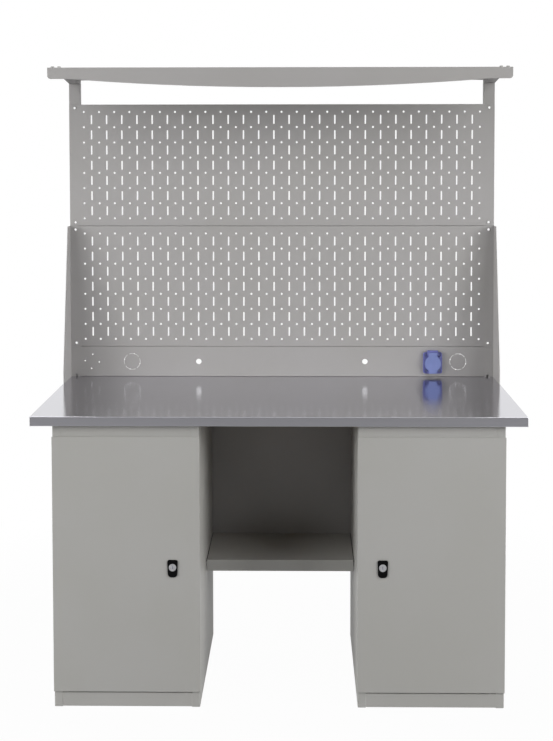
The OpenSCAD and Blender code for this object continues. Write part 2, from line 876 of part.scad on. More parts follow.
// The seam bolts' holes go through the folded edges as far up as seam_h
module peg_panel(z, seam_h) {
  color(body_grey) translate([0, panel_y, z]) difference() {
    folded_panel(peg_h);
    peg_pattern();
    for (side = [-1, 1], dz = [rivet_edge, peg_h - rivet_edge])
      translate([side * post_mid_x, -over, dz]) to_y()
        cylinder(r = rivet_r, h = panel_t + 2 * over);
    for (x = seam_bolt_xs) translate([x, seam_bolt_y, -over]) cylinder(r = seam_bolt_r, h = seam_h);
  }
}

// Round knockout held by four webs, with a wider nick beside each
module knockout(r, slit, nick, turn) {
  to_wall() rotate(turn) {
    difference() {
      circle(r);
      circle(r - slit);
      for (a = [0:90:359]) rotate(a + 45)
        translate([r - slit - over, -knock_web / 2]) square([slit + 2 * over, knock_web]);
    }
    for (a = [0:90:359]) rotate(a) translate([r - slit / 2, 0]) circle(nick);
  }
}

module socket_panel() {
  color(body_grey) translate([0, panel_y, top_h]) difference() {
    folded_panel(rail_panel_h);
    translate([small_knock_x, 0, rail_mid])
      knockout(small_knock_r, fine_slit, small_knock_nick, small_knock_turn);
    for (x = [left_knock_x, right_knock_x]) translate([x, 0, rail_mid])
      knockout(knock_r, knock_slit, knock_nick, knock_turn);
    for (x = [-cable_x, cable_x]) translate([x, -over, rail_mid]) to_y()
      cylinder(r = cable_r, h = panel_t + 2 * over);
    translate([socket_x, -over, socket_z]) to_y() cylinder(r = socket_back_r, h = panel_t + 2 * over);
    for (sx = [-1, 1], sz = [-1, 1]) translate([socket_x + sx * screw_x, -over, socket_z + sz * screw_z])
      to_y() cylinder(r = screw_r, h = panel_t + 2 * over);
    for (side = [-1, 1]) translate([side * post_mid_x, 0, 0]) drain_notch(panel_t);
    for (x = seam_bolt_xs) translate([x, seam_bolt_y, rail_panel_h / 2])
      cylinder(r = seam_bolt_r, h = rail_panel_h);
  }
}

// Hollow rivets, open right through, that hold the panels to the posts
module panel_rivets() {
  length = panel_t + post_t;
  color(body_grey) for (side = [-1, 1], z = rivet_zs)
    translate([side * post_mid_x, panel_y, z]) difference() {
      union() {
        to_y() cylinder(r = rivet_r, h = length + rivet_head_h);
        translate([0, -rivet_head_h, 0]) to_y() cylinder(r = rivet_head_r, h = rivet_head_h);
        translate([0, length, 0]) to_y() cylinder(r = rivet_head_r, h = rivet_head_h);
      }
      translate([0, -rivet_head_h - over, 0]) to_y()
        cylinder(r = rivet_bore, h = length + 2 * (rivet_head_h + over));
    }
}

// Bolts through the folded edges that lie against each other
module seam_bolts() {
  color(steel) for (x = seam_bolt_xs, z = [lower_z, upper_z])
    translate([x, panel_y + seam_bolt_y, z - seam_gap / 2]) {
      for (side = [0, 1]) mirror([0, 0, side]) translate([0, 0, seam_grip / 2])
        cylinder(r = seam_head_r, h = seam_head_h, $fn = 6);
      translate([0, 0, -seam_grip / 2]) cylinder(r = seam_bolt_r, h = seam_grip);
    }
}

// Canopy

// Side view of an arm: level on the post, then tapering forward in two steps
module arm_2d() {
  z0 = post_top;
  z1 = post_top + arm_h;
  polygon([
    [arm_rear_y, z0], [post_y, z0], [post_y - arm_knee_y, z0 + arm_knee_rise],
    [arm_front_y, z1 - arm_nose], [arm_front_y, z1], [arm_rear_y, z1]
  ]);
}

module arm() {
  color(body_grey) difference() {
    translate([post_x - post_w, 0, 0]) rotate([90, 0, 90]) linear_extrude(post_w) arm_2d();
    translate([post_x - post_w + arm_t, 0, 0]) rotate([90, 0, 90])
      linear_extrude(post_w - 2 * arm_t) arm_hollow_2d();
    translate([post_mid_x, post_bolt_y, post_top - over]) cylinder(r = post_bolt_r, h = arm_t + 2 * over);
    arm_bolt_holes();
  }
}

// Inside of an arm, as far forward as its walls leave room
module arm_hollow_2d() {
  z0 = post_top + arm_t;
  z1 = post_top + arm_h - arm_t;
  polygon([
    [arm_rear_y - arm_t, z0], [post_y, z0], [post_y - arm_knee_y, z1], [arm_rear_y - arm_t, z1]
  ]);
}

module arm_bolt_holes() {
  for (p = canopy_bolt_places) translate([p[0], p[1], canopy_top - p[2] - over])
    cylinder(r = canopy_bolt_r, h = p[2] + 2 * over);
}

// Fascia outline: level ends with rounded corners, bowed down in the middle
module fascia_2d() {
  z_end = canopy_top - fascia_end_h;
  translate([-half_w, z_end + fascia_r]) square([top_w, fascia_end_h - fascia_r - bend_r]);
  translate([-half_w + fascia_r, z_end]) square([top_w - 2 * fascia_r, fascia_r + over]);
  for (side = [-1, 1]) translate([side * (half_w - fascia_r), z_end + fascia_r]) circle(fascia_r);
  intersection() {
    translate([0, canopy_top - fascia_mid_h + arch_r]) circle(arch_r, $fn = 200);
    translate([-arch_half, canopy_top - fascia_mid_h - over]) square([2 * arch_half, fascia_rise + 2 * over]);
  }
}

module canopy() {
  color(body_grey) difference() {
    union() {
      translate([0, canopy_y + canopy_t, 0]) rotate([90, 0, 0]) linear_extrude(canopy_t) fascia_2d();
      translate([0, canopy_y, canopy_top - canopy_edge]) along_x(top_w) canopy_2d();
      for (side = [0, 1]) mirror([side, 0, 0])
        block([half_w - canopy_t, canopy_y + bend_r, canopy_top - canopy_edge],
              [half_w, rear_y - bend_r, canopy_top - canopy_t]);
    }
    for (side = [0, 1]) mirror([side, 0, 0]) arm_bolt_holes();
  }
}

// Canopy section in depth and height, from the fascia's bend to the rear fold
module canopy_2d() {
  translate([bend_r, canopy_edge - bend_r]) mirror([0, 1]) bend_2d(canopy_t);
  translate([bend_r, canopy_edge - canopy_t]) square([canopy_d - 2 * bend_r, canopy_t]);
  translate([canopy_d - bend_r, canopy_edge - bend_r]) mirror([1, 0]) mirror([0, 1]) bend_2d(canopy_t);
  translate([canopy_d - canopy_t, 0]) square([canopy_t, canopy_edge - bend_r]);
}

// Bolts down through the canopy and the arm's top wall, each with its nut
module canopy_bolts() {
  color(steel) for (side = [0, 1], p = canopy_bolt_places) mirror([side, 0, 0])
    translate([p[0], p[1], canopy_top]) {
      cylinder(r = canopy_head_r, h = canopy_head_h, $fn = 6);
      translate([0, 0, -p[2] - canopy_head_h]) {
        cylinder(r = canopy_bolt_r, h = p[2] + 2 * canopy_head_h);
        cylinder(r = canopy_head_r, h = canopy_head_h, $fn = 6);
      }
    }
}

// Socket, drawn round its middle with the panel's face at y = 0

module at_socket() {
  translate([socket_x, panel_y, top_h + socket_z]) children();
}

module round_rect_2d(w, h, r) {
  square([w, h - 2 * r], center = true);
  square([w - 2 * r, h], center = true);
  for (x = [-1, 1], z = [-1, 1]) translate([x * (w / 2 - r), z * (h / 2 - r)]) circle(r);
}

module socket_housing() {
  color(flange_blue) at_socket() difference() {
    union() {
      rotate([90, 0, 0]) linear_extrude(socket_t) round_rect_2d(socket_w, socket_h, socket_corner);
      translate([0, -socket_t - collar_h, 0]) to_y() cylinder(r = collar_r, h = socket_t + collar_h);
      to_y() cylinder(r = socket_back_r, h = socket_back_d);
      for (side = [0, 1]) mirror([side, 0, 0]) lid_ear();
      hinge_bar();
    }
    translate([0, -socket_t - collar_h - over, 0]) to_y()
      cylinder(r = recess_r, h = recess_d + insert_t + over);
    for (x = [-1, 1], z = [-1, 1]) translate([x * screw_x, 0, z * screw_z]) {
      translate([0, -socket_t - over, 0]) to_y() cylinder(r = pocket_r, h = screw_pocket + over);
      translate([0, -socket_t, 0]) to_y() cylinder(r = screw_r, h = socket_t + over);
    }
    translate([-socket_w, lid_axis_y, lid_axis_z]) to_x() cylinder(r = lid_pin_r, h = 2 * socket_w);
  }
}

// Ear on the flange that carries one end of the lid's pin
module lid_ear() {
  translate([lid_half + fit, 0, 0]) {
    translate([0, lid_axis_y, lid_axis_z]) to_x() cylinder(r = barrel_r, h = ear_t);
    block([0, lid_axis_y, lid_axis_z - barrel_r], [ear_t, -socket_t + over, lid_axis_z + barrel_r]);
  }
}

// Bar along the flange's top edge that shields the lid's barrel
module hinge_bar() {
  z1 = socket_h / 2 + bar_h;
  block([-bar_half, -socket_t, socket_h / 2 - over], [bar_half, 0, z1]);
  block([-bar_half, -socket_t - collar_h, socket_h / 2 + fit], [bar_half, 0, z1]);
}

// Screws in the flange's corner pockets
module socket_screws() {
  color(steel) at_socket() for (x = [-1, 1], z = [-1, 1])
    translate([x * screw_x, screw_pocket - socket_t, z * screw_z]) difference() {
      union() {
        translate([0, -screw_head_h, 0]) to_y() cylinder(r = screw_head_r, h = screw_head_h);
        to_y() cylinder(r = screw_r, h = screw_l);
      }
      block([-screw_head_r, -screw_head_h - over, -screw_slot_w / 2],
            [screw_head_r, -screw_head_h + screw_slot_d, screw_slot_w / 2]);
    }
}

module socket_insert() {
  color("white") at_socket() translate([0, -socket_t - collar_h + recess_d, 0]) difference() {
    to_y() cylinder(r = recess_r, h = insert_t);
    for (x = [-1, 1]) translate([x * insert_pin_x, -over, 0]) to_y()
      cylinder(r = insert_pin_r, h = insert_t + 2 * over);
  }
}

// Lid with its leaf, its finger lip and its barrel, which is open behind for the spring
module socket_lid() {
  color(lid_blue) at_socket() difference() {
    union() {
      translate([0, lid_y - lid_t, -lid_drop]) to_y() cylinder(r = lid_r, h = lid_t);
      block([-lid_half, lid_y - lid_t, 0], [lid_half, lid_y, lid_axis_z]);
      block([-lid_lip_half, lid_y - lid_t, -lid_drop - lid_r - lid_lip], [lid_lip_half, lid_y, -lid_drop]);
      translate([-lid_half, lid_axis_y, lid_axis_z]) to_x() cylinder(r = barrel_r, h = 2 * lid_half);
    }
    translate([-lid_half - over, lid_axis_y, lid_axis_z]) to_x()
      cylinder(r = lid_pin_r + run_fit, h = 2 * (lid_half + over));
    translate([-spring_half, lid_axis_y, lid_axis_z]) to_x() cylinder(r = spring_room, h = 2 * spring_half);
    block([-spring_half, lid_axis_y, lid_axis_z - spring_room],
          [spring_half, lid_axis_y + 2 * barrel_r, lid_axis_z + spring_room]);
  }
}

module lid_pin() {
  length = 2 * (lid_half + fit + ear_t);
  color(steel) at_socket() translate([-length / 2, lid_axis_y, lid_axis_z]) to_x()
    cylinder(r = lid_pin_r, h = length);
}

// Torsion spring round the pin: one wire swept along a helix
module lid_spring() {
  coil_r = lid_pin_r + 2 * spring_wire;
  count = spring_turns * spring_steps;
  pitch = 2 * (spring_half - spring_wire - fit) / count;
  points = [for (i = [0:count], k = [0:spring_sides - 1])
    let (a = 360 * i / spring_steps, b = 360 * k / spring_sides, r = coil_r + spring_wire * cos(b))
    [-spring_half + fit + spring_wire + i * pitch + spring_wire * sin(b), r * cos(a), r * sin(a)]];
  last = count * spring_sides;
  sides = [for (i = [0:count - 1], k = [0:spring_sides - 1])
    let (a = i * spring_sides + k, b = i * spring_sides + (k + 1) % spring_sides)
    [a, b, b + spring_sides, a + spring_sides]];
  ends = [[for (k = [spring_sides - 1:-1:0]) k], [for (k = [0:spring_sides - 1]) last + k]];
  color(steel) at_socket() translate([0, lid_axis_y, lid_axis_z]) polyhedron(points, concat(sides, ends));
}

worktop_skin();
worktop_core();
worktop_screws();
left_ped() outer_side();  // left_outer_side
left_ped() inner_side(left_lock_inset);  // left_inner_side
left_ped() ped_back();  // left_back
left_ped() top_rail();  // left_top_rail
left_ped() floor_panel();  // left_floor
left_ped() inner_shelf();  // left_inner_shelf
left_ped() shelf_clips();  // left_shelf_clips
left_ped() door_skin(left_lock_inset);  // left_door_skin
left_ped() door_liner(left_lock_inset);  // left_door_liner
left_ped() hinge_sleeves();  // left_hinge_sleeves
left_ped() hinge_brackets();  // left_hinge_brackets
left_ped() hinge_pins();  // left_hinge_pins
left_ped() lock_plate(left_lock_inset);  // left_lock_plate
left_ped() lock_body(left_lock_inset);  // left_lock_body
left_ped() lock_nut(left_lock_inset);  // left_lock_nut
left_ped() key_cylinder(left_lock_inset);  // left_key_cylinder
left_ped() lock_cam(left_lock_inset);  // left_lock_cam
right_ped() outer_side();  // right_outer_side
right_ped() inner_side(right_lock_inset);  // right_inner_side
right_ped() ped_back();  // right_back
right_ped() top_rail();  // right_top_rail
right_ped() floor_panel();  // right_floor
right_ped() inner_shelf();  // right_inner_shelf
right_ped() shelf_clips();  // right_shelf_clips
right_ped() door_skin(right_lock_inset);  // right_door_skin
right_ped() door_liner(right_lock_inset);  // right_door_liner
right_ped() hinge_sleeves();  // right_hinge_sleeves
right_ped() hinge_brackets();  // right_hinge_brackets
right_ped() hinge_pins();  // right_hinge_pins
right_ped() lock_plate(right_lock_inset);  // right_lock_plate
right_ped() lock_body(right_lock_inset);  // right_lock_body
right_ped() lock_nut(right_lock_inset);  // right_lock_nut
right_ped() key_cylinder(right_lock_inset);  // right_key_cylinder
right_ped() lock_cam(right_lock_inset);  // right_lock_cam
modesty_panel();
knee_shelf();
knee_bolts();
right_side() post();  // left_post
post();  // right_post
right_side() gusset();  // left_gusset
gusset();  // right_gusset
frame_bolts();
peg_panel(upper_z, peg_h / 2);  // upper_peg_panel
peg_panel(lower_z, peg_h + 2 * over);  // lower_peg_panel
socket_panel();
panel_rivets();
seam_bolts();
right_side() arm();  // left_arm
arm();  // right_arm
canopy();
canopy_bolts();
socket_housing();
socket_insert();
socket_screws();
socket_lid();
lid_pin();
lid_spring();
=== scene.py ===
# %% [markdown]
# # A steel workbench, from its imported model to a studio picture
#
# The bench is folded sheet steel: two cupboards carry a steel-skinned worktop, and a back wall with
# pegboards, a socket rail and a canopy stands on it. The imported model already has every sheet, hinge and
# bolt in its place. This lesson gives each piece the finish that it has in a workshop, rounds the edges
# that a press or a mould leaves round, and lights the bench as a catalogue does.

import json
from math import cos, pi, radians, sin

import bmesh
import bpy
from mathutils import Matrix, Vector

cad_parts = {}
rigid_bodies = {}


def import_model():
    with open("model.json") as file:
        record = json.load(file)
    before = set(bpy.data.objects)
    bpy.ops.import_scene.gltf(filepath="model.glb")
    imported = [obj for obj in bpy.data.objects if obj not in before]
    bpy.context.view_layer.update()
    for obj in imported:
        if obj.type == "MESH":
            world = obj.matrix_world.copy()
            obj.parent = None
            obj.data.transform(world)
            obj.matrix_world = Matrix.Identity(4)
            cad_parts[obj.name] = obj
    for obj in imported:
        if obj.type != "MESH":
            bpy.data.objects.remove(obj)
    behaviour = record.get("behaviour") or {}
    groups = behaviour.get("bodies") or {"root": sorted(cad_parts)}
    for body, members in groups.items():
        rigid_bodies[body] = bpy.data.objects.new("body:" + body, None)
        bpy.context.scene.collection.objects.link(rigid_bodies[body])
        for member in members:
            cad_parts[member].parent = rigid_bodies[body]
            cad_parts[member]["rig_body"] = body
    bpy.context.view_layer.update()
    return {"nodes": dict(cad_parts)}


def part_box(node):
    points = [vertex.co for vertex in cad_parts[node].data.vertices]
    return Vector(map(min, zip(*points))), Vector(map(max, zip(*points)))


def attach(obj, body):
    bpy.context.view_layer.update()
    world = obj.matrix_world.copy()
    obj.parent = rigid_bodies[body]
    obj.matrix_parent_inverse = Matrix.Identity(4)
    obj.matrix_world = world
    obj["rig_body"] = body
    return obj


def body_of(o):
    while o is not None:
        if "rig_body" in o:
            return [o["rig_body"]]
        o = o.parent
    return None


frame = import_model()
nodes = frame["nodes"]

# %% [markdown]
# ## The camera
#
# The photograph was taken from a little right of the middle, with the worktop seen from above and the
# canopy from below. The places of forty points on the bench, from the peg holes to the feet, give the
# camera's place, turn and lens. The bench stands low in the photograph's frame, which a shifted lens gives
# without tilting the posts. Lengths of the picture are in pixels of the photograph's frame.

# %% The camera
PHOTO_W, PHOTO_H = 553, 741
FOCAL_PX = 1127.93
AXIS_U, AXIS_V = 288.34, 200.88
CAMERA_PLACE = Vector((0.0645, -3.4342, 1.5843))
CAMERA_YAW, CAMERA_PITCH, CAMERA_ROLL = -0.0114, radians(2.5), -0.001
SENSOR_MM = 36.0


def aim_camera():
    """The camera at the photograph's place, with its axes as the columns of its matrix."""
    ahead = Vector((sin(CAMERA_YAW), cos(CAMERA_YAW), 0))
    right = Vector((cos(CAMERA_YAW), -sin(CAMERA_YAW), 0))
    forward = ahead * cos(CAMERA_PITCH) - Vector((0, 0, sin(CAMERA_PITCH)))
    up = right.cross(forward)
    across = right * cos(CAMERA_ROLL) + up * sin(CAMERA_ROLL)
    upward = up * cos(CAMERA_ROLL) - right * sin(CAMERA_ROLL)
    data = bpy.data.cameras.new("catalogue_camera")
    data.sensor_width = SENSOR_MM
    data.lens = FOCAL_PX / PHOTO_H * SENSOR_MM
    data.shift_x = (PHOTO_W / 2 - AXIS_U) / PHOTO_H
    data.shift_y = (AXIS_V - PHOTO_H / 2) / PHOTO_H
    camera = bpy.data.objects.new("catalogue_camera", data)
    bpy.context.scene.collection.objects.link(camera)
    turn = Matrix((across, upward, -forward)).transposed()
    camera.matrix_world = Matrix.Translation(CAMERA_PLACE) @ turn.to_4x4()
    bpy.context.scene.camera = camera
    return data


camera_data = aim_camera()
print(f"lens {camera_data.lens:.1f} mm, shift {camera_data.shift_x:.3f}, {camera_data.shift_y:.3f}")

# %% [markdown]
# ## Writing finishes as sums
#
# A finish is a small network of nodes. Wired by hand it is slow to read, so a wrapped socket is added,
# multiplied and subtracted like a number, and each sign makes its Math node. Every other node comes from
# one method, which takes the node's type, its settings and what goes into its sockets. The room's light is
# such a network too, so the class for a finish adds only what a material needs. No folded or moulded edge
# is sharp, so under each finish's bumps a Bevel node rounds the edges in the shading, where a line of light
# then catches.

# %% A socket that can be added and multiplied
BEVEL_SAMPLES = 6


class Wire:
    """The output of a shader node, which sums and products turn into Math nodes."""

    def __init__(self, network, socket):
        self.network, self.socket = network, socket

    def maths(self, operation, first, second):
        """A Math node of two values, each a wire or a number."""
        return self.network.node("ShaderNodeMath", {"operation": operation}, {0: first, 1: second})

    def __add__(self, other):
        return self.maths("ADD", self, other)

    def __sub__(self, other):
        return self.maths("SUBTRACT", self, other)

    def __rsub__(self, other):
        return self.maths("SUBTRACT", other, self)

    def __mul__(self, other):
        return self.maths("MULTIPLY", self, other)

    __radd__, __rmul__ = __add__, __mul__


class Network:
    """A tree of shader nodes in the making."""

    def __init__(self, tree):
        self.tree = tree

    def node(self, kind, settings=None, values=None, out=0):
        """Makes a node, first with its settings and then with its sockets' values, and gives one output."""
        made = self.tree.nodes.new(kind)
        for key, value in (settings or {}).items():
            setattr(made, key, value)
        for key, value in (values or {}).items():
            self.fill(made.inputs[key], value)
        return Wire(self, made.outputs[out])

    def fill(self, socket, value):
        """Links a wire to a socket, or writes a plain value there."""
        if isinstance(value, Wire):
            self.tree.links.new(value.socket, socket)
        else:
            socket.default_value = value

    def brighter(self, first, second):
        """The larger of two values."""
        return first.maths("MAXIMUM", first, second)

    def rising(self, value, low, high, least=0.0, most=1.0):
        """Rises smoothly from least, where a value is at low, to most at high."""
        return self.node("ShaderNodeMapRange", {"interpolation_type": "SMOOTHSTEP"},
                         {"Value": value, "From Min": low, "From Max": high, "To Min": least, "To Max": most})


class Finish(Network):
    """A material in the making. Its shader is a Principled BSDF, and its places are in metres."""

    def __init__(self, name):
        self.material = bpy.data.materials.new(name)
        self.material.use_nodes = True
        super().__init__(self.material.node_tree)
        self.shader = self.tree.nodes["Principled BSDF"]
        self.place = self.node("ShaderNodeTexCoord", out="Object")

    def noise(self, waves, detail=2.0, stretch=(1, 1, 1)):
        """Soft noise from 0 to 1, so many waves to the metre, packed closer along an axis by its stretch."""
        place = self.node("ShaderNodeMapping", values={"Vector": self.place, "Scale": stretch})
        return self.node("ShaderNodeTexNoise", values={"Vector": place, "Scale": waves, "Detail": detail})

    def blend(self, mask, first, second):
        """Two colours mixed by a mask."""
        settings = {"data_type": "RGBA"}
        return self.node("ShaderNodeMix", settings, {0: mask, 6: first, 7: second}, out=2)

    def wear(self, **values):
        """Sets or links sockets of the shader, whose names have _ for a space."""
        for key, value in values.items():
            self.fill(self.shader.inputs[key.replace("_", " ")], value)

    def relief(self, height, depth, rounding):
        """Bumps of a height from 0 to 1, with a depth in metres, over edges rounded by a radius in metres."""
        edges = self.node("ShaderNodeBevel", {"samples": BEVEL_SAMPLES}, {"Radius": rounding})
        bumps = {"Height": height, "Distance": depth, "Strength": 1.0, "Normal": edges}
        self.wear(Normal=self.node("ShaderNodeBump", values=bumps))
        return self.material


def shade(red, green, blue):
    """A colour from its screen values of 0 to 255, as the light that a shader works in, by the sRGB curve."""
    linear = [((v / 255 + 0.055) / 1.055) ** 2.4 if v > 10 else v / 255 / 12.92 for v in (red, green, blue)]
    return (*linear, 1)


print(f"a screen value of 165 is {shade(165, 165, 165)[0]:.3f} of white's light")

# %% [markdown]
# ## Powder coat
#
# Nearly every sheet is powder coated: dry paint that is sprayed on and baked. It runs into a skin with a
# faint orange peel, a few millimetres from wave to wave, and a fine grain. A bump of two noises gives the
# peel and the grain, and the roughness drifts with them. The cupboards and the back wall have one paint,
# made here in two copies: the cupboards' is painted a little lighter as painted light, and the back wall's
# a little darker as painted shade, to even out how the lamps fall on them.

# %% Powder coat
MM = 0.001
FOLDED_EDGE = 1.5 * MM
SPECK_SHARE = 0.12


def powder_coat(name, colour, drift, speck):
    """Baked paint whose colour drifts in wide clouds toward a second one, with fine specks of a third."""
    finish = Finish(name)
    clouds = finish.noise(waves=3.1, detail=3.0)
    grain = finish.noise(waves=1400.0, detail=1.0)
    peel = finish.noise(waves=330.0)
    tint = finish.blend(finish.rising(clouds, low=0.35, high=0.65), colour, drift)
    specks = finish.rising(grain, low=0.3, high=0.75) * SPECK_SHARE
    finish.wear(Base_Color=finish.blend(specks, tint, speck),
                Roughness=clouds * 0.08 + grain * 0.06 + 0.42, Specular_IOR_Level=0.4)
    return finish.relief(peel * 0.75 + grain * 0.25, depth=0.04 * MM, rounding=FOLDED_EDGE)


# Painted light and painted shade: one coat, lighter on the cupboards and darker on the back wall.
cupboard_grey_painted_light = powder_coat("cupboard_powder_painted_light",
                            shade(175, 174, 171), shade(173, 172, 168), shade(155, 154, 152))
wall_grey_painted_shade = powder_coat("wall_powder_painted_shade",
                        shade(164, 162, 161), shade(162, 160, 158), shade(144, 142, 142))
print("coats:", cupboard_grey_painted_light.name, "and", wall_grey_painted_shade.name)

# %% [markdown]
# ## The worktop's steel
#
# The worktop is bare zinc-coated steel. Seen flat it mirrors the pale room behind the bench at its ends and
# the pegboard in the middle. It is a metal with a low roughness, and wiping changes the gloss a little and
# the colour hardly at all. The mill's rolls leave fine grooves along the sheet. As a bump they smear the
# mirror image toward the eye and hardly sideways, so the picture of a slot stays narrow and grows long.

# %% Zinc-coated sheet


def zinc_coated(name):
    """Bright sheet, rolled along X and wiped by hand."""
    finish = Finish(name)
    wiping = finish.noise(waves=9.0, detail=4.0, stretch=(0.35, 1.4, 1))
    clouds = finish.noise(waves=2.2)
    rolling = finish.noise(waves=900.0, stretch=(0.02, 1, 1))
    wiped = finish.rising(wiping, low=0.4, high=0.7)
    finish.wear(Base_Color=finish.blend(clouds, shade(201, 201, 206), shade(207, 206, 212)),
                Metallic=1.0, Roughness=wiped * 0.02 + clouds * 0.01 + 0.075)
    return finish.relief(rolling, depth=0.09 * MM, rounding=FOLDED_EDGE)


zinc_sheet = zinc_coated("zinc_coated_sheet")
print("sheet:", zinc_sheet.name, "with", len(zinc_sheet.node_tree.nodes), "nodes")

# %% [markdown]
# ## Bolts, hinges and locks
#
# Bolts, pins and brackets are zinc plated and a little cloudy, and the key cylinders are satin chrome. The
# socket's screws are blued.

# %% Plated steel
TURNED_EDGE = 0.4 * MM


def plated(name, colour, dull, roughness):
    """Plated metal with small dull clouds, which are rougher too."""
    finish = Finish(name)
    cloud = finish.noise(waves=160.0, detail=3.0)
    fine = finish.noise(waves=1900.0)
    finish.wear(Base_Color=finish.blend(finish.rising(cloud, low=0.35, high=0.7), colour, dull),
                Metallic=1.0, Roughness=cloud * 0.16 + roughness)
    return finish.relief(fine, depth=0.012 * MM, rounding=TURNED_EDGE)


zinc = plated("zinc_plate", shade(200, 200, 202), shade(172, 172, 176), roughness=0.26)
satin_chrome = plated("satin_chrome", shade(222, 222, 224), shade(208, 208, 211), roughness=0.36)
# The same blued steel colours the plates that stand in for the shade inside the keyways.
blued_steel_and_keyway_shade = plated("blued_steel_and_keyway_shade", shade(146, 152, 192), shade(120, 127, 165), roughness=0.42)
print("steels:", *(steel.name for steel in (zinc, satin_chrome, blued_steel_and_keyway_shade)))

# %% [markdown]
# ## Moulded plastic and the board
#
# The socket and the lock plates are moulded, with the even grain of a spark-eroded tool. The lock plates
# are so black in the photograph that they get hardly any gloss, and the rubber of the buffers is a dull
# dark grey. The board under the worktop's skin is pressed chips, which show only in its slots.

# %% Plastic and board
MOULDED_EDGE, CUT_EDGE = 0.8 * MM, 0.5 * MM


def moulded(name, colour, darker, roughness, grain_depth=0.02 * MM, gloss=0.35):
    """Plastic or rubber with the grain of its mould."""
    finish = Finish(name)
    grain = finish.noise(waves=2600.0)
    cloud = finish.noise(waves=40.0)
    finish.wear(Base_Color=finish.blend(finish.rising(cloud, low=0.3, high=0.7), colour, darker),
                Roughness=grain * 0.1 + roughness, Specular_IOR_Level=gloss)
    return finish.relief(grain, depth=grain_depth, rounding=MOULDED_EDGE)


def pressed_chips(name):
    """Chips a few millimetres wide, each of its own brown and height."""
    finish = Finish(name)
    chips = finish.node("ShaderNodeTexVoronoi", values={"Vector": finish.place, "Scale": 260.0}, out="Color")
    tone = finish.node("ShaderNodeSeparateColor", values={0: chips})
    finish.wear(Base_Color=finish.blend(tone, shade(176, 146, 104), shade(138, 106, 70)), Roughness=0.85)
    return finish.relief(tone, depth=0.2 * MM, rounding=CUT_EDGE)


lock_black = moulded("lock_black", shade(9, 9, 10), shade(7, 7, 8), roughness=0.5, gloss=0.08)
# The same dull dark grey is the painted shade of the strips in the plays beside the knee shelf.
rubber_and_gap_shade = moulded("rubber_and_gap_shade", shade(38, 38, 40), shade(33, 33, 35), roughness=0.6,
                        grain_depth=0.03 * MM)
flange_blue = moulded("flange_blue", shade(112, 116, 176), shade(107, 111, 170), roughness=0.42)
lid_blue = moulded("lid_blue", shade(121, 133, 184), shade(116, 128, 178), roughness=0.36)
contact_white = moulded("contact_white", shade(228, 228, 224), shade(220, 220, 216), roughness=0.3,
                        grain_depth=0.01 * MM)
board = pressed_chips("pressed_chips")
print("mouldings:", *(f.name for f in (lock_black, rubber_and_gap_shade, flange_blue, lid_blue, contact_white)))

# %% [markdown]
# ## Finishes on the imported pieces
#
# A piece takes its finish by the words that its name ends with, and a sheet with none of them has the
# cupboards' coat.

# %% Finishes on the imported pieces
FINISH_BY_WORD = {
    "worktop_skin": zinc_sheet, "worktop_core": board, "worktop_screws": zinc, "shelf_clips": zinc,
    "hinge_brackets": zinc, "hinge_pins": zinc, "lock_body": zinc, "lock_nut": zinc, "lock_cam": zinc,
    "key_cylinder": satin_chrome, "lock_plate": lock_black, "knee_bolts": zinc, "frame_bolts": zinc,
    "seam_bolts": zinc, "socket_housing": flange_blue, "socket_insert": contact_white,
    "socket_screws": blued_steel_and_keyway_shade, "socket_lid": lid_blue, "lid_pin": zinc, "lid_spring": zinc,
}
WALL_WORDS = ("post", "gusset", "arm", "canopy", "peg_panel", "socket_panel", "modesty_panel", "panel_rivets")
FINISH_BY_WORD.update(dict.fromkeys(WALL_WORDS, wall_grey_painted_shade))


def finish_of(name):
    """The finish whose word ends a piece's name."""
    return next((f for word, f in FINISH_BY_WORD.items() if name.endswith(word)), cupboard_grey_painted_light)


for name, piece in nodes.items():
    piece.data.materials.clear()
    piece.data.materials.append(finish_of(name))
print("finished", len(nodes), "packed pieces")

# %% [markdown]
# ## Painted shade in the keyways
#
# Just behind the mouth of each keyway a thin plate stands in for the shade deep inside it, so that the keyway
# shows as a dark mark: painted shade, given by a piece. It is a strip with round ends and rolled edges, so
# its outline is drawn as two half circles and its rim as a few smaller copies, each a little further back. It
# turns with its key cylinder.

# %% Keyway shade plates
SHADE_PLATE_W, SHADE_PLATE_H, SHADE_PLATE_RIM = 1.4 * MM, 8.4 * MM, 0.3 * MM
SHADE_PLATE_DEPTH = 0.7 * MM
END_STEPS, RIM_RINGS = 9, 4


def made_piece(name, bm, finish):
    """An object from a bmesh, smooth and with its finish."""
    mesh = bpy.data.meshes.new(name)
    bm.to_mesh(mesh)
    bm.free()
    mesh.shade_smooth()
    mesh.materials.append(finish)
    piece = bpy.data.objects.new(name, mesh)
    bpy.context.scene.collection.objects.link(piece)
    return piece


def rounded_strip(name, middle, width, height, rim, finish):
    """A strip that faces the front, with round ends and an edge that rolls back by the rim."""
    ends = [(side, (side - 1) * pi / 2 + pi * i / (END_STEPS - 1))
            for side in (1, -1) for i in range(END_STEPS)]
    straight = (height - width) / 2
    bm = bmesh.new()
    loops = []
    for ring in range(RIM_RINGS + 1):
        a = pi / 2 * ring / RIM_RINGS
        radius, back = width / 2 - rim * (1 - sin(a)), rim * (1 - cos(a))
        outline = [(radius * cos(b), back, side * straight + radius * sin(b)) for side, b in ends]
        loops.append([bm.verts.new(middle + Vector(point)) for point in outline])
    bm.faces.new(loops[0])
    bm.faces.new(loops[-1])
    for inner, outer in zip(loops, loops[1:]):
        for i in range(len(inner)):
            j = (i + 1) % len(inner)
            bm.faces.new((inner[i], outer[i], outer[j], inner[j]))
    bmesh.ops.recalc_face_normals(bm, faces=bm.faces)
    return made_piece(name, bm, finish)


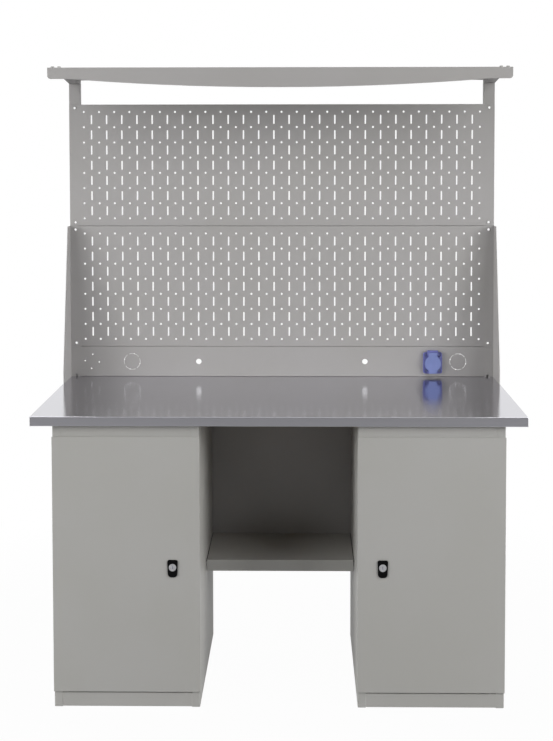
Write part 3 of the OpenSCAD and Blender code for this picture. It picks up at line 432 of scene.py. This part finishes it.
for side in ("left", "right"):
    low, high = (Vector(v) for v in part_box(side + "_key_cylinder"))
    mouth = Vector(((low.x + high.x) / 2, low.y + SHADE_PLATE_DEPTH, (low.z + high.z) / 2))
    # Painted shade: a plate in the keyway that stands in for the shade inside it.
    shade_plate = rounded_strip(side + "_keyway_shade_plate", mouth, SHADE_PLATE_W, SHADE_PLATE_H, SHADE_PLATE_RIM, blued_steel_and_keyway_shade)
    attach(shade_plate, *body_of(nodes[side + "_key_cylinder"]))
    print(shade_plate.name, "with", len(shade_plate.data.vertices), "points")

# %% [markdown]
# ## Door buffers
#
# A steel door would ring when it shuts, so two soft buttons on the flange beside the lock catch it. A
# button is a turned form: its outline is drawn once, from the middle of the face to the foot, and spun
# round.

# %% Door buffers
BUFFER_OUTLINE = [(0, 1.7), (1.6, 1.68), (3.0, 1.55), (4.0, 1.28), (4.6, 0.85), (4.8, 0.3), (4.8, 0), (0, 0)]
BUFFER_IN, BUFFER_FROM_END = 11.5 * MM, 45 * MM
SPIN_STEPS = 28


def turned(name, foot, outline, finish):
    """A turned form that faces the front, from its outline of (radius, height) in millimetres."""
    bm = bmesh.new()
    spun = [bm.verts.new(foot + Vector((radius, -rise, 0)) * MM) for radius, rise in outline]
    edges = [bm.edges.new(pair) for pair in zip(spun, spun[1:])]
    bmesh.ops.spin(bm, geom=spun + edges, cent=foot, axis=(0, 1, 0), angle=2 * pi, steps=SPIN_STEPS,
                   use_merge=True)
    bmesh.ops.remove_doubles(bm, verts=bm.verts, dist=1e-6)
    bmesh.ops.recalc_face_normals(bm, faces=bm.faces)
    return made_piece(name, bm, finish)


for side, inward in (("left", 1), ("right", -1)):
    low, high = (Vector(v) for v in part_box(side + "_inner_side"))
    edge = high.x if inward > 0 else low.x
    door_low, door_high = (Vector(v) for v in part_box(side + "_door_skin"))
    for end, z in (("upper", door_high.z - BUFFER_FROM_END), ("lower", door_low.z + BUFFER_FROM_END)):
        foot = Vector((edge - inward * BUFFER_IN, low.y, z))
        button = turned(f"{side}_{end}_door_buffer", foot, BUFFER_OUTLINE, rubber_and_gap_shade)
        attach(button, *body_of(nodes[side + "_inner_side"]))
        print(button.name, "at", tuple(round(v, 3) for v in foot))

# %% [markdown]
# ## Painted shade beside the knee shelf
#
# The knee shelf has a little play between the pedestals, and a thin black line of shade runs along each of
# its ends. A black strip with a round top fills that play, as painted shade in place of the dark gap. Its
# section is drawn once and drawn out from the shelf's front to its back.

# %% Shelf shade strips
STRIP_DEEP, STRIP_SUNK = 5 * MM, 0.2 * MM
STRIP_PLAY, STRIP_SHORT = 0.04 * MM, 1 * MM
ARCH_STEPS = 8


def drawn_strip(name, low, high, finish):
    """A strip between two corners, along Y, whose section is a U turned upside down and filled."""
    radius, middle = (high.x - low.x) / 2, (low.x + high.x) / 2
    turns = [pi * i / ARCH_STEPS for i in range(ARCH_STEPS + 1)]
    arch = [(middle + radius * cos(a), high.z - radius + radius * sin(a)) for a in turns]
    section = arch + [(low.x, low.z), (high.x, low.z)]
    bm = bmesh.new()
    front, back = ([bm.verts.new((x, y, z)) for x, z in section] for y in (low.y, high.y))
    bm.faces.new(front)
    bm.faces.new(back)
    for i in range(len(section)):
        j = (i + 1) % len(section)
        bm.faces.new((front[i], front[j], back[j], back[i]))
    bmesh.ops.recalc_face_normals(bm, faces=bm.faces)
    return made_piece(name, bm, finish)


shelf_low, shelf_high = (Vector(v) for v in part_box("knee_shelf"))
for side, near, far in (("left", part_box("left_inner_side")[1][0], shelf_low.x),
                        ("right", shelf_high.x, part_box("right_inner_side")[0][0])):
    low = Vector((near + STRIP_PLAY, shelf_low.y + STRIP_SHORT, shelf_high.z - STRIP_DEEP))
    high = Vector((far - STRIP_PLAY, shelf_high.y - STRIP_SHORT, shelf_high.z - STRIP_SUNK))
    # Painted shade: a dark strip that fills the play where there is only shade.
    strip = drawn_strip(side + "_shelf_shade_strip", low, high, rubber_and_gap_shade)
    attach(strip, *body_of(nodes["knee_shelf"]))
    print(strip.name, f"in a play of {(far - near) / MM:.2f} mm")

# %% [markdown]
# ## The room
#
# The catalogue picture has a white ground and no hard shadow. The world is white to the camera, and what
# the steel mirrors is white behind the bench and overhead and darker in front, as in a studio with the
# lights off to the sides. Only the part behind the bench also gives light, so that a gap or a slot shows
# bright.

# %% The room
FRONT_MIRRORED = 0.3
REAR_WALL_LIGHT = 0.7


def build_room():
    """A world whose strength depends on the ray that asks and on where it looks."""
    world = bpy.data.worlds.new("white_room")
    bpy.context.scene.world = world
    world.use_nodes = True
    room = Network(world.node_tree)
    place = room.node("ShaderNodeTexCoord", out="Generated")
    depth, height = (room.node("ShaderNodeSeparateXYZ", values={0: place}, out=axis) for axis in "YZ")
    to_camera, to_glass, to_gloss = (room.node("ShaderNodeLightPath", out=f"Is {kind} Ray")
                                     for kind in ("Camera", "Transmission", "Glossy"))
    in_front = 1 - room.rising(depth, low=-0.4, high=0.9)
    walls = 1 - in_front * (1 - FRONT_MIRRORED)
    ceiling = room.rising(height, low=0.5, high=0.9)
    mirrored = to_gloss * room.brighter(walls, ceiling)
    rear_wall = room.rising(depth, low=0.2, high=0.8) * REAR_WALL_LIGHT
    strength = room.brighter(to_camera + to_glass, room.brighter(mirrored, rear_wall))
    background = room.tree.nodes["Background"]
    room.fill(background.inputs["Color"], (1, 1, 1, 1))
    room.fill(background.inputs["Strength"], strength)
    return world


white_room = build_room()
print(white_room.name, "with", len(white_room.node_tree.nodes), "nodes")

# %% [markdown]
# ## The floor
#
# The floor is plain pale grey under the lamps. To the camera it is nearly all white, and a small share of
# the lit floor stays near the bench, so that a soft trace of the shadow is left. What the worktop's front
# edge and the sheets mirror of it fades toward the front, as the room does.

# %% The floor
FLOOR_HALF = 9.0
FLOOR_DROP = 0.4 * MM
WHITE_BY_BENCH = 0.975
FLOOR_MIRRORED = 0.6


def floor_finish():
    """Pale floor whose lit surface shows through plain white only near the bench."""
    finish = Finish("pale_floor")
    across, along = (finish.node("ShaderNodeSeparateXYZ", values={0: finish.place}, out=axis)
                     for axis in "XY")
    spread = across * across * 0.5 + along * along
    cloud = finish.noise(waves=1.7, detail=3.0)
    finish.wear(Base_Color=finish.blend(cloud, shade(158, 158, 159), shade(155, 155, 156)), Roughness=0.8)
    to_camera, to_gloss, to_glass = (finish.node("ShaderNodeLightPath", out=f"Is {kind} Ray")
                                     for kind in ("Camera", "Glossy", "Transmission"))
    white = to_camera * finish.rising(spread, low=0.2, high=2.4, least=WHITE_BY_BENCH)
    mirrored = to_gloss * finish.rising(along, low=-1.5, high=0.6, most=FLOOR_MIRRORED)
    glow = finish.node("ShaderNodeEmission", values={"Color": (1, 1, 1, 1), "Strength": 1.0})
    lit = Wire(finish, finish.shader.outputs[0])
    both = finish.node("ShaderNodeMixShader", values={0: white + mirrored + to_glass, 1: lit, 2: glow})
    finish.fill(finish.tree.nodes["Material Output"].inputs["Surface"], both)
    return finish.material


def lay_floor():
    """One wide sheet, a hair below the bench's feet."""
    mesh = bpy.data.meshes.new("studio_floor")
    corners = [(x * FLOOR_HALF, y * FLOOR_HALF, -FLOOR_DROP) for x, y in ((-1, -1), (1, -1), (1, 1), (-1, 1))]
    mesh.from_pydata(corners, [], [(0, 1, 2, 3)])
    mesh.materials.append(floor_finish())
    floor = bpy.data.objects.new("studio_floor", mesh)
    bpy.context.scene.collection.objects.link(floor)
    return floor


studio_floor = lay_floor()
print(studio_floor.name, "is", 2 * FLOOR_HALF, "m wide")

# %% [markdown]
# ## The lights
#
# On each side three soft lights stand well away from the bench. Two low ones far out to the side reach
# under the canopy, leave soft wedges of shade behind the gussets, and miss the back of the knee space. The
# third is higher and nearer the middle, and shades the rails under the worktop's edge. It is tall, so the
# canopy's shade has no edge. A fourth stands high at the rear and shows mostly in views of the back.

# %% The lights
BENCH_MIDDLE = Vector((0, 0, 0.9))
LIGHT_DISTANCE = 6.5
LIGHTS = [
    # name, degrees out to the side, degrees up, width and height in metres, watts
    ("low", 60, 10, 1.9, 1.3, 140),
    ("wide", 75, 20, 1.9, 1.3, 125),
    ("high", 42, 31, 1.9, 3.2, 88),
    ("rear", 140, 50, 1.9, 1.9, 75),
]


def soft_light(name, azimuth, elevation, width, height, watts):
    """A soft light at an angle from straight ahead of the bench, facing its middle."""
    data = bpy.data.lights.new(name, "AREA")
    data.shape, data.size, data.size_y, data.energy = "RECTANGLE", width, height, watts
    lamp = bpy.data.objects.new(name, data)
    bpy.context.scene.collection.objects.link(lamp)
    a, e = radians(azimuth), radians(elevation)
    away = Vector((sin(a) * cos(e), -cos(a) * cos(e), sin(e)))
    lamp.location = BENCH_MIDDLE + away * LIGHT_DISTANCE
    lamp.rotation_euler = away.to_track_quat("Z", "Y").to_euler()
    return lamp


for side, turn in (("left", -1), ("right", 1)):
    for name, azimuth, *rest in LIGHTS:
        lamp = soft_light(f"{side}_{name}_light", turn * azimuth, *rest)
        print(lamp.name, "at", tuple(round(v, 2) for v in lamp.location))
bpy.context.scene.view_settings.view_transform = "Standard"
